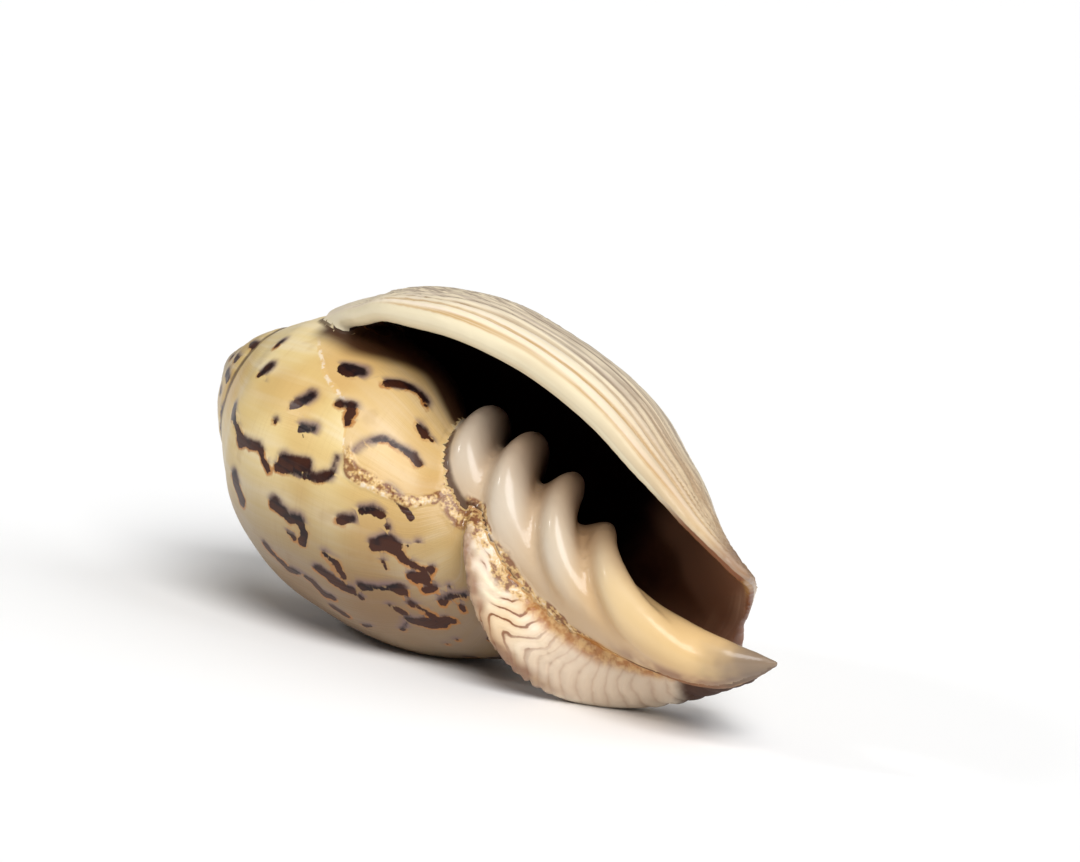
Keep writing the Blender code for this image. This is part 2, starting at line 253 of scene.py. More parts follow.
class Maker:
    """Adds nodes to one node tree."""

    def __init__(self, tree):
        self.tree = tree

    def node(self, kind, settings=None, inputs=None):
        """A node of a type, with its settings and the values or links of its inputs, by name or number."""
        made = self.tree.nodes.new(kind)
        for name, value in (settings or {}).items():
            setattr(made, name, value)
        for name, value in (inputs or {}).items():
            self.feed(made.inputs[name], value)
        return made

    def feed(self, socket, value):
        """Link a socket to a number or an output, or set its value."""
        if isinstance(value, Number):
            self.tree.links.new(value.socket, socket)
        elif isinstance(value, bpy.types.NodeSocket):
            self.tree.links.new(value, socket)
        else:
            socket.default_value = value

    def out(self, made, name=0):
        """An output of a node as a number."""
        return Number(self, made.outputs[name])

    def math(self, operation, *values):
        """One step of maths."""
        return self.out(self.node("ShaderNodeMath", {"operation": operation}, dict(enumerate(values))))

    def low(self, a, b):
        """The smaller of two numbers."""
        return self.math("MINIMUM", a, b)

    def high(self, a, b):
        """The larger of two numbers."""
        return self.math("MAXIMUM", a, b)

    def zigzag(self, x):
        """0 at whole numbers and 0.5 halfway between, in straight lines."""
        return self.math("PINGPONG", x, 0.5)

    def clip(self, value):
        """The value, kept between 0 and 1."""
        made = self.node("ShaderNodeMath", {"operation": "ADD", "use_clamp": True}, {0: value, 1: 0.0})
        return self.out(made)

    def step(self, start, end, x):
        """0 before start, 1 after end, smooth between."""
        s = self.clip((x - start) / (end - start))
        return s * s * (3 - 2 * s)

    def curve(self, points, x):
        """A smooth curve through a few points, without overshoot."""
        first, last = points[0][0], points[-1][0]
        low = min(p[1] for p in points)
        high = max(p[1] for p in points)
        made = self.node("ShaderNodeFloatCurve")
        line = made.mapping.curves[0]
        while len(line.points) < len(points):
            line.points.new(0.5, 0.5)
        for spot, (at, value) in zip(line.points, points):
            spot.location = ((at - first) / (last - first), (value - low) / (high - low))
            spot.handle_type = "AUTO_CLAMPED"
        made.mapping.update()
        self.feed(made.inputs["Value"], (x - first) / (last - first))
        return self.out(made) * (high - low) + low

    def vector(self, x, y, z):
        """Three numbers as one vector."""
        return self.node("ShaderNodeCombineXYZ", None, {0: x, 1: y, 2: z}).outputs[0]

    def parts(self, vector):
        """The three numbers of a vector."""
        made = self.node("ShaderNodeSeparateXYZ", None, {0: vector})
        return [self.out(made, k) for k in range(3)]

    def noise(self, place, scale, detail=2.0, roughness=0.5):
        """Noise between 0 and 1 at a place."""
        return self.out(self.node("ShaderNodeTexNoise", {"noise_dimensions": "3D"}, {
            "Vector": place, "Scale": scale, "Detail": detail, "Roughness": roughness}))

    def mix(self, factor, a, b):
        """One colour laid over another by a factor."""
        return self.node("ShaderNodeMix", {"data_type": "RGBA"}, {0: factor, 6: a, 7: b}).outputs[2]

    def layered(self, base, *layers):
        """A colour with layers of (factor, colour) laid over it, one after another."""
        for factor, above in layers:
            base = self.mix(factor, base, above)
        return base


def field(title):
    """An input's title as a Python name."""
    return title.lower().replace(" ", "_")


def begin_tree(name, numbers=(), counts=(), **others):
    """The maker and the inputs of a new geometry tree, with a mesh in and out and inputs by title."""
    tree = bpy.data.node_groups.new(name, "GeometryNodeTree")
    tree.interface.new_socket("Geometry", in_out="OUTPUT", socket_type="NodeSocketGeometry")
    kinds = {"Geometry": "Geometry", **dict.fromkeys(numbers, "Float"), **dict.fromkeys(counts, "Int"),
             **others, "Material": "Material"}
    for title, kind in kinds.items():
        tree.interface.new_socket(title, in_out="INPUT", socket_type="NodeSocket" + kind)
    m = Maker(tree)
    given = m.node("NodeGroupInput")
    return m, SimpleNamespace(**{field(s.name): Number(m, s) for s in given.outputs if s.name})


def finish_tree(m, geometry, material):
    """Make a tree's result real, dress it and send it out."""
    real = m.node("GeometryNodeRealizeInstances", None, {0: geometry})
    dressed = m.node("GeometryNodeSetMaterial", None, {"Geometry": real.outputs[0], "Material": material})
    m.node("NodeGroupOutput", None, {0: dressed.outputs[0]})
    return m.tree


def grow_mesh(obj, tree, values):
    """Run a geometry tree on an object with values by input name, and keep the result as its plain mesh."""
    modifier = obj.modifiers.new(tree.name, "NODES")
    modifier.node_group = tree
    for item in tree.interface.items_tree:
        if item.in_out == "INPUT" and item.name in values:
            modifier[item.identifier] = values[item.name]
    keep_result(obj)


def keep_result(obj):
    """Make an object's evaluated mesh its own, and remove its modifiers."""
    graph = bpy.context.evaluated_depsgraph_get()
    mesh = bpy.data.meshes.new_from_object(obj.evaluated_get(graph), preserve_all_data_layers=True,
                                           depsgraph=graph)
    obj.modifiers.clear()
    obj.data = mesh


def rule_point(m, size, turns, share, swelling):
    """The point that the growth rule gives for a growth in turns and a share along the profile."""
    suture = (size.expansion - 1) * size.suture_drop / (size.front_drop - size.suture_drop)
    front = m.clip((share - suture) / (1 - suture))
    growth = size.expansion ** (turns * (1 + (size.front_quickening - 1) * front * front))
    radius = (m.curve(PROFILE, share) * MM + swelling) * growth
    drop = (size.suture_drop + (size.front_drop - size.suture_drop) * share) * growth
    sunk = m.math("EXPONENT", -((drop / APEX_REACH) ** 2)) * APEX_SINK
    angle = turns * -TURN
    return m.vector(radius * m.math("COSINE", angle), radius * m.math("SINE", angle), -(drop + sunk))


def tagged(m, geometry, marks):
    """Store named numbers on the points of a mesh."""
    for name, value in marks.items():
        made = m.node("GeometryNodeStoreNamedAttribute", {"data_type": "FLOAT", "domain": "POINT"},
                      {"Geometry": geometry, "Name": name, "Value": value})
        geometry = made.outputs["Geometry"]
    return geometry


def ruled(m, geometry, growth, share, inside=0.0, columella=0.0, behind_lip=1.0, crest=0.0):
    """Store the rule's own numbers on the points of a mesh."""
    return tagged(m, geometry, dict(zip(CARRIED, (growth, share, inside, columella, behind_lip, crest))))


def moved(m, geometry, **how):
    """A mesh with its points set to a Position or moved by an Offset."""
    return m.node("GeometryNodeSetPosition", None, {"Geometry": geometry, **how}).outputs[0]


def outward(m, reach):
    """A vector along the surface's normal, as long as the reach."""
    normal = m.node("GeometryNodeInputNormal").outputs[0]
    return m.node("ShaderNodeVectorMath", {"operation": "SCALE"}, {0: normal, "Scale": reach}).outputs[0]


def wall_part(m, size):
    """The wall as one closed sheet: down the profile on the outside, and back up on the inside."""
    grid = m.node("GeometryNodeMeshGrid", None, {"Size X": 1.0, "Size Y": 1.0, "Vertices X": size.columns,
                                                 "Vertices Y": size.rows})
    along, round_way, _ = m.parts(grid.outputs["UV Map"])
    inside = m.math("GREATER_THAN", round_way, 0.5)
    to_front = 1 - abs(2 * round_way - 1)
    fold = m.clip(m.low(to_front, 1 - to_front) * (size.rows * 0.5 - 0.5))
    first = -1.0 - SPIRE_TURNS
    grown = 1 - (1 - along) ** COLUMN_CROWDING
    kept = SPIRE_SHARE + (1 - SPIRE_SHARE) * m.step(*SPIRE_FROM, (1 - grown) * first)
    share = to_front * kept
    lip = m.curve(LIP, share)
    turns = (lip - first) * grown + first

    flare = m.step(*FLARE_TURNS, turns)
    rises = m.step(*FASCIOLE_RISES, turns) * m.step(*FASCIOLE_FADES, turns)
    drift = FASCIOLE_DRIFT * m.step(*FASCIOLE_DRIFTS, turns)
    swelling = m.curve(FASCIOLE, m.high(share - drift, 0.0)) * MM * size.fasciole
    swelling = swelling * rises * (1 + FASCIOLE_FLARE * flare)
    step = size.suture_step * m.clip(1 - share / SUTURE_STEP_END) ** 1.5
    step = step + m.step(*SPIRE_SWELLS, turns) * SPIRE_SWELLING

    to_lip = lip - turns
    behind = to_lip * TURN_LENGTH
    at_lip = m.step(LIP_SWELL_TURNS, 0.0, to_lip) * m.step(*LIP_SWELL_SHARES, share)
    thin = 1 - NOTCH_THIN * flare * m.step(*NOTCH_THIN_SHARES, share)
    thin = thin * (1 - CORNER_THIN * m.step(*CORNER_SHARES, share) * m.step(*CORNER_TURNS, turns))
    aged = m.high(size.expansion ** turns, THINNEST)
    thickness = size.wall * (1 + size.lip_swelling * at_lip) * thin * aged
    edge = m.clip(1 - behind / (thickness * ROUND_REACH))
    opening = m.clip(along * size.columns / CLOSING_COLUMNS)
    open_by = (1 - edge * edge) ** 0.5 * opening
    inward = thickness * fold * (0.5 * (1 - open_by) + inside * open_by)
    inner = swelling * flare * CANAL_SHARE
    parted = m.step(0.0, PARTING, behind) * opening
    outer = inner + (swelling + step - inner) * parted * (1 - inside)
    point = rule_point(m, size, turns, share, outer * fold)
    sheet = moved(m, ruled(m, grid.outputs["Mesh"], turns, share, inside, behind_lip=behind), Position=point)
    # The sheet's normals point out of the shell on its outside and into the cavity on its inside.
    return moved(m, sheet, Offset=outward(m, inward * (2 * inside - 1)))


def plaits_rise(m, past, drop):
    """How far (mm) the plaits stand out at an angle past the facing side and a drop, and the drop unwound."""
    unrolled = (past + math.pi / 2) % TURN - math.pi / 2
    at_side = drop / (EXPANSION_AT_PLAITS ** ((math.pi / 2 - unrolled) / TURN))
    rising = m.step(PLAIT_FROM, math.pi, unrolled)
    lean = m.step(*PLAIT_LEANS, unrolled)
    back = PLAIT_BACK[0] + lean * (PLAIT_BACK[1] - PLAIT_BACK[0])
    total = 0.0
    for place, height, end in PLAITS:
        on_face = LAST_PLAIT_FRONT if place == PLAITS[-1][0] else PLAIT_FRONT[1]
        front = PLAIT_FRONT[0] + lean * (on_face - PLAIT_FRONT[0])
        away = m.low(m.high((place - at_side) / back, (at_side - place) / front), 1.0)
        crest = m.high(m.math("COSINE", away * (math.pi / 2)), 0.0) ** PLAIT_CREST
        total = total + crest * height * rising * m.step(math.radians(end), PLAIT_FULL, unrolled)
    return total, at_side


def pillar_part(m, size):
    """The columella: a ball drawn out along the axis, with the plaits as slanting ridges round it."""
    ball = m.node("GeometryNodeMeshUVSphere", None, {"Segments": size.columella_segments,
                                                     "Rings": size.columella_rings, "Radius": 1.0})
    x, y, z = m.parts(m.node("GeometryNodeInputPosition").outputs[0])
    angle = m.math("ARCTAN2", y, x)
    way = m.math("ARCCOSINE", m.low(m.high(z, -1.0), 1.0)) / math.pi
    drop = m.curve(PILLAR_RINGS, way)
    slim = 1 - PILLAR_FLAT * m.high(m.math("COSINE", angle - FACING - PILLAR_FLAT_SIDE), 0.0)
    rise, at_side = plaits_rise(m, angle - FACING, drop)
    wide = m.curve(PILLAR_RADIUS, drop) * slim + rise * size.plaits
    wide = wide * m.high(1 - abs(2 * way - 1) ** PILLAR_CLOSING, 0.0) ** 0.5
    side = m.curve(PILLAR_SIDE, drop)
    depth = m.curve(PILLAR_DEPTH, drop)
    px = wide * m.math("COSINE", angle) - side * math.sin(FACING) - depth * math.cos(FACING)
    py = wide * m.math("SINE", angle) + side * math.cos(FACING) - depth * math.sin(FACING)
    mesh = ruled(m, ball.outputs["Mesh"], angle / TURN, at_side / PILLAR_END, columella=1.0,
                 crest=rise / PLAITS[0][1])
    return moved(m, mesh, Position=m.vector(px * MM, py * MM, drop * -MM))


def apex_part(m):
    """The blunt first whorl."""
    ball = m.node("GeometryNodeMeshUVSphere", None, {"Segments": 48, "Rings": 32, "Radius": APEX_RADIUS})
    return moved(m, ruled(m, ball.outputs["Mesh"], -1.0 - SPIRE_TURNS, 0.0), Offset=(0, 0, -APEX_DROP))


def growth_tree():
    """The geometry tree that grows the parts of the shell by the rule."""
    m, size = begin_tree("grow shell", RULE_NUMBERS, RULE_COUNTS)
    joined = m.node("GeometryNodeJoinGeometry")
    wall = m.node("GeometryNodeMergeByDistance", None, {"Geometry": wall_part(m, size), "Distance": WELD})
    for part in (wall.outputs[0], pillar_part(m, size), apex_part(m)):
        m.feed(joined.inputs[0], part)
    return finish_tree(m, joined.outputs[0], size.material)


def sampled(m, source, name):
    """A named number of the nearest point of another surface."""
    made = m.node("GeometryNodeSampleNearestSurface", {"data_type": "FLOAT"}, {
        "Mesh": source, "Value": named(m, name)})
    return m.out(made, "Value")


def named(m, name):
    """A named number of the mesh itself."""
    return m.out(m.node("GeometryNodeInputNamedAttribute", {"data_type": "FLOAT"}, {"Name": name}))


def softened(m, name):
    """A named number, evened out between neighbouring points."""
    return m.out(m.node("GeometryNodeBlurAttribute", {"data_type": "FLOAT"}, {
        "Value": named(m, name), "Iterations": BLUR_ROUNDS}))


def carry_tree():
    """The geometry tree that carries the rule's numbers onto the fused skin."""
    m, given = begin_tree("carry rule", Rule="Object")
    rule = m.node("GeometryNodeObjectInfo", None, {"Object": given.rule}).outputs["Geometry"]
    skin = tagged(m, given.geometry, {name: sampled(m, rule, name) for name in CARRIED})
    return finish_tree(m, skin, given.material)


# From here on m is a tree's Maker, f its numbers by name, and c the colours by name.
def chevron(m, growth, share):
    """Growth lines bend into chevrons on the fasciole, and their apex drifts to its front edge (turns)."""
    later = m.step(-0.75, -0.52, growth)
    apex = 0.93 + 0.07 * later
    away = ((share - apex) ** 2.0 + 0.0002) ** 0.5
    return growth - (1.2 - 0.76 * later) * away


def lamellae(m, f):
    """The folds of the fasciole (0 in a valley, 1 on a crest), and its chevron lines in their place."""
    line = chevron(m, f.growth, f.share) + (f.coarse - 0.5) * 0.05
    wander = f.mid - 0.5
    return (m.zigzag(line / LAMELLA_TURNS + wander) * 2,
            m.zigzag(line / CHEVRON_TURNS + wander * 1.2) * 2)


def shared_noises(m, f, spot):
    """The noises that both the relief and the colours follow."""
    f.coarse = m.noise(spot, COARSE)
    f.mid = m.noise(spot, MID, 2.0, 0.6)
    f.fine = m.noise(spot, FINE, 2.0, 0.7)
    f.behind_mm = f.behind_lip * IN_MM
    f.bands = m.noise(m.vector(f.behind_mm, f.share * 6, 0.0), 0.35, 2.0, 0.55)


def crust_of(m, f):
    """The crust along the glaze's edge and the callus, the way past that edge (mm), and the bare wall."""
    from_edge = (f.growth - m.curve(GLAZE_EDGE, f.share)) * (TURN_LENGTH / MM)
    ends = m.step(CRUST_FROM, CRUST_FROM + 0.03, f.share) * m.step(0.73, 0.7, f.share)
    bare = m.step(0.2, 0.03, f.columella)
    along_edge = m.step(2.0, 0.3, abs(from_edge + 0.4) + (f.mid - 0.5) * 4) * ends * bare
    on_wall = m.step(0.67, 0.72, f.share) * m.step(-0.69, -0.75, f.growth)
    on_pillar = m.step(0.46, 0.48, f.share) * m.step(0.59, 0.55, f.share)
    starts = on_wall + (on_pillar - on_wall) * m.step(0.4, 0.6, f.columella)
    by_callus = m.step(3.0 - 1.4 * f.columella, 0.4, f.callus + (f.mid - 0.5) * 3) * starts
    return m.high(along_edge, by_callus), from_edge, bare


def lip_layers(m, f):
    """The layers behind the lip, counted from its edge, and as they wander. They crowd at its ends."""
    spread = (0.25 + 0.75 * m.step(0.0, 0.3, f.share)) * (0.4 + 0.6 * m.step(0.8, 0.55, f.share))
    layers = f.behind_lip / (LAYER_LENGTH * spread) + 0.5
    return layers, layers + (f.bands - 0.5) * LAYER_WANDER


def relief_tree():
    """The geometry tree that raises the fine relief of the skin."""
    m, size = begin_tree("raise relief", RELIEF_NUMBERS)
    skin = tagged(m, size.geometry, {name: softened(m, name) for name in SOFTENED})
    f = SimpleNamespace(**{name: named(m, name) for name in (*CARRIED, "suture", "callus")})
    spot = m.node("GeometryNodeInputPosition").outputs[0]
    shared_noises(m, f, spot)
    outside = (1 - m.step(*BARE_EDGE, f.inside)) * (1 - m.step(*BARE_EDGE, f.columella))

    on_fasciole = m.step(0.82, 0.87, f.share) * m.step(-0.95, -0.85, f.growth) * outside
    folds, bands = lamellae(m, f)
    lower = m.step(-0.72, -0.6, f.growth)
    fold = (folds * (2 - folds) - 0.7) * lower + (bands * (2 - bands) - 0.8) * 0.6 * (1 - lower)
    layers, shown = lip_layers(m, f)
    ridges = (m.zigzag(shown) * 2) ** 0.7 - 0.6
    near_lip = (m.step(13.0, 5.0, layers) * m.step(0.55, 1.0, layers) * m.step(0.84, 0.74, f.share)
                * m.step(-0.45, -0.3, f.growth) * m.step(0.02, 0.12, f.share) * outside)
    rests = m.high(m.noise(m.vector(f.behind_mm, f.share * 1.2, 4.0), 0.3, 3.0) - 0.5, -0.2)
    crust = crust_of(m, f)[0]
    lifted = m.step(0.3 * MM, 1.5 * MM, m.parts(spot)[2])
    calm = m.step(0.3, 1.4, f.suture)
    height = lifted * (on_fasciole * fold * size.lamella_height
                       + (1 - on_fasciole) * (1 - near_lip) * outside * calm * rests * size.rest_height
                       + near_lip * calm * ridges * size.lip_layer_height
                       + crust * (f.fine + f.mid - 0.9) * size.callus_height)
    raised = moved(m, skin, Offset=outward(m, height))
    smooth = m.node("GeometryNodeSetShadeSmooth", None, {"Geometry": raised})
    return finish_tree(m, smooth.outputs[0], size.material)


def fused(source, voxel, name):
    """One closed skin round everything that a mesh encloses."""
    skin = bpy.data.objects.new(name, source.data.copy())
    bpy.context.scene.collection.objects.link(skin)
    remesh = skin.modifiers.new("fuse", "REMESH")
    remesh.mode = "VOXEL"
    remesh.voxel_size = voxel
    remesh.adaptivity = 0.0
    smooth = skin.modifiers.new("soften", "SMOOTH")
    smooth.factor = SMOOTHING
    smooth.iterations = SMOOTHING_ROUNDS
    keep_result(skin)
    bm = bmesh.new()
    bm.from_mesh(skin.data)
    keep_largest(bm)
    bm.to_mesh(skin.data)
    bm.free()
    return skin


def keep_largest(bm):
    """Remove all but the largest connected piece, such as the skins of closed pockets."""
    unseen, largest = set(bm.verts), set()
    while unseen:
        piece, front = set(), [unseen.pop()]
        while front:
            spot = front.pop()
            piece.add(spot)
            others = {edge.other_vert(spot) for edge in spot.link_edges} & unseen
            unseen -= others
            front.extend(others)
        largest = max(largest, piece, key=len)
    bmesh.ops.delete(bm, geom=[v for v in bm.verts if v not in largest], context="VERTS")


def lay_down(obj):
    """Turn the shell the way it rests, wear the flat, and fit it to its solid."""
    upward = Vector((-math.cos(LIES_ON) * math.cos(NOSE_DOWN), -math.sin(LIES_ON) * math.cos(NOSE_DOWN),
                     math.sin(NOSE_DOWN)))
    forward = Vector((0, 0, -1))
    forward = (forward - forward.dot(upward) * upward).normalized()
    turn = Matrix((forward, upward.cross(forward), upward)).to_4x4()
    bm = bmesh.new()
    bm.from_mesh(obj.data)
    bmesh.ops.transform(bm, matrix=turn, verts=bm.verts)
    floor = min(v.co.z for v in bm.verts) + WORN_FLAT
    everything = bm.verts[:] + bm.edges[:] + bm.faces[:]
    bmesh.ops.bisect_plane(bm, geom=everything, dist=1e-6, plane_co=(0, 0, floor), plane_no=(0, 0, -1),
                           clear_outer=True)
    bmesh.ops.edgenet_fill(bm, edges=[e for e in bm.edges if e.is_boundary])
    bmesh.ops.triangulate(bm, faces=[face for face in bm.faces if len(face.verts) > 4])
    bmesh.ops.recalc_face_normals(bm, faces=bm.faces)
    spots = np.array([v.co for v in bm.verts])
    low, high = spots.min(axis=0), spots.max(axis=0)
    shift = (Vector(LOW) + Vector(HIGH) - Vector(low) - Vector(high)) / 2
    shift.z = LOW[2] - low[2]
    bmesh.ops.translate(bm, verts=bm.verts, vec=shift)
    bm.to_mesh(obj.data)
    bm.free()
    obj.data.shade_smooth()


def body_colour(m, f, c):
    """Buff clouded with cream and amber, with faint bands and the glaze's warm edge flecked with painted
    glints, greyer on the lower body partly from painted shade, and dark brown painted shade far inside and
    under the lip.
    """
    laid = m.step(0.18, 0.24, f.share) * m.step(0.74, 0.68, f.share)
    # The glaze's edge: a thin gold line whose pearl flecks are painted glints.
    line = m.step(0.75, 0.25, abs(f.from_edge + (f.mid - 0.5) * 1.5) + (f.fine - 0.5) * 1.5) * laid * f.bare
    # Painted shade, partly a greyer tone of its own: slate laid over the lower body.
    grey = m.step(-0.76, -0.62, f.growth) * m.step(-0.5, -0.6, f.growth) * m.step(0.2, 0.4, f.share)
    # Painted shade: dark umber deep in the aperture, under the lip and on the inner wall.
    depth = f.growth + 0.035 * m.step(0.28, 0.42, f.share) + 0.028 * m.step(0.38, 0.48, f.share)
    hidden_shade = m.step(-0.943, -0.974, depth) * m.step(0.15, 0.2, f.share)
    hidden_shade = m.high(hidden_shade, m.step(0.1, 0.25, f.inside))
    return m.layered(
        c.buff, (m.step(0.38, 0.66, f.coarse), c.cream),
        (m.step(0.45, 0.7, f.bands * 0.5 + f.coarse * 0.5) * 0.7, c.pale),
        (m.step(0.5, 0.8, f.threads) * 0.1, c.ochre), (m.step(0.52, 0.34, f.coarse) * 0.4, c.amber),
        (m.step(0.6, -0.6, f.from_edge + (f.mid - 0.5)) * laid * 0.5, c.amber),
        (line * 0.7, m.mix(m.step(0.42, 0.56, f.fine), c.gold, c.pearl)), (grey * 0.35, c.slate),
        (m.step(0.6, 0.75, f.mid) * 0.25, c.ochre), (hidden_shade * 0.96, c.umber))


def marked(m, f, c, base):
    """Ragged maroon marks that fade into purple behind and end in a thin orange line before."""
    ragged = (f.fine - 0.5) * 0.6 + (f.mid - 0.5) * 2.1 + (f.threads - 0.5) * 0.2
    depth = f.mark + ragged
    older = m.step(-0.2, 0.5, f.mark_older + ragged * 0.3)
    purple = m.step(-1.15, 0.15, f.mark + ragged * 0.35) * older
    orange = m.step(-0.45, -0.1, depth) * (1 - older) * m.step(0.4, 0.62, f.coarse + ragged * 0.15)
    core = m.step(-0.08 - 0.25 * older, 0.06 + 0.25 * older, depth)
    dark = m.mix(m.step(0.45, 0.7, f.mid + (1 - older) * 0.14), c.maroon, c.umber)
    return m.layered(base, (purple ** 1.6 * 0.85, c.purple), (orange * 0.85, c.orange), (core, dark))


def fasciole_colour(m, f, c):
    """Thin brown chevrons over cream where it starts, then pinkish-white lamellae, then a brown end, with
    painted shade in russet along its flank next to the body.
    """
    folds, bands = lamellae(m, f)
    rough = (f.fine - 0.5) * 0.35
    patchy = m.step(0.4, 0.6, f.mid)
    lines = m.step(0.3, 0.08, bands + rough) * m.step(0.5, 0.62, f.coarse + f.mid * 0.4 - 0.2)
    upper = m.layered(
        c.pale, (patchy, c.pearl), (m.step(0.9, 0.2, bands + rough) * 0.35, c.rosy),
        (m.step(0.5, 0.68, f.coarse) * 0.5, c.gold), (lines * 0.95, c.russet))
    ribs = m.layered(
        c.rosy, (m.step(-0.7, 0.5, folds + rough), c.pearl), (m.step(0.5, 0.64, f.coarse) * 0.35, c.tan))
    # Painted shade: russet along the fasciole's flank on its shadow side, next to the body.
    limb_shade = m.step(0.945, 0.905, f.share + (f.mid - 0.5) * 0.03) * m.step(-0.53, -0.6, f.growth)
    ended = m.step(-0.435, -0.405, f.growth + (f.mid - 0.5) * 0.03)
    return m.layered(
        upper, (m.step(-0.7, -0.6, f.growth), ribs), (limb_shade * 0.75, m.mix(patchy, c.russet, c.tan)),
        (ended * 0.97, c.umber))


def lip_colour(m, f, c):
    """Cream layers parted by ochre and grey-brown lines, greyer away from the edge."""
    layers, shown = lip_layers(m, f)
    spread = m.step(0.02, 0.16, f.share)
    groove = m.step(0.3, 0.08, m.zigzag(shown)) * (0.6 + 0.4 * m.step(0.4, 0.6, f.lines)) * spread
    line = m.mix(m.step(1.5, 4.5, layers), m.mix(0.75, c.gold, c.ochre), c.slate)
    greyed = m.step(2.0, 6.0, layers) * (0.22 + 0.6 * m.step(0.42, 0.6, f.lines)) * spread
    return m.layered(c.pale, (m.step(0.4, 0.65, f.lines), c.pearl), (groove * 0.92, line), (greyed, c.slate))


def canal_colour(m, f, c):
    """Mauve-brown inside with soft darker folds, pale along the lip, and painted shade, almost black, far
    inside.
    """
    brown = m.mix(0.4, c.cocoa, c.russet)
    folded = m.step(0.755, 0.8, f.share) * m.step(0.8, 0.45, f.coarse)
    # Painted shade: maroon, almost black, deep in the cavity.
    far = m.step(0.6, 0.48, f.share) * m.step(3 * MM, 14 * MM, f.behind_lip)
    far = m.high(far, m.step(38 * MM, 60 * MM, f.behind_lip))
    stained = m.step(6 * MM, 2.5 * MM, f.behind_lip) * m.step(0.52, 0.64, f.share)
    corner = m.step(0.745, 0.758, f.share) * m.step(0.785, 0.772, f.share)
    by_lip = m.step(2.0 * MM, 0.9 * MM, f.behind_lip) * m.step(0.62, 0.52, f.share)
    return m.layered(
        brown, (folded, c.mauve), (m.step(0.4, 0.62, f.bands) * 0.5, brown), (far, c.maroon),
        (stained * 0.85, m.mix(corner * 0.7, c.russet, c.ochre)), (by_lip, c.rim))


def columella_colour(m, f, c, along):
    """Pinkish plaits that warm to honey and amber towards the front end, brown beneath, with a grey tip, and
    painted shade where they turn under the lip into the aperture.
    """
    lower = m.step(0.52, 0.8, f.share + (f.coarse - 0.5) * 0.25)
    behind = m.step(0.8, 0.72, f.share)
    # Painted shade: tan where the lip's shadow falls on the plaits.
    shaded = m.step(-0.07, 0.06, f.growth) * (0.3 + 0.35 * m.step(0.45, 0.52, f.share)) * behind
    streaks = m.step(-0.24, -0.34, f.growth) * m.step(22 * MM, 29 * MM, along) * m.step(0.3, 0.6, f.mid)
    tip = m.step(35 * MM, 41 * MM, along + (f.mid - 0.5) * 3 * MM)
    return m.layered(
        m.mix(lower, c.fawn, c.amber), (m.step(0.0, 0.5, f.crest), m.mix(lower, c.pink, c.honey)),
        (m.step(0.66, 0.76, f.share) * 0.6, c.honey), (shaded, c.tan),
        # painted shade: cocoa farther into the aperture
        (m.step(0.08, 0.2, f.growth) * behind * 0.8, c.cocoa),
        (m.step(0.98, 1.06, f.share) * 0.85, m.mix(m.step(0.5, 0.62, f.mid), c.umber, c.tan)),
        (streaks * 0.75, c.russet), (tip * 0.92, m.mix(0.4, c.slate, c.umber)))


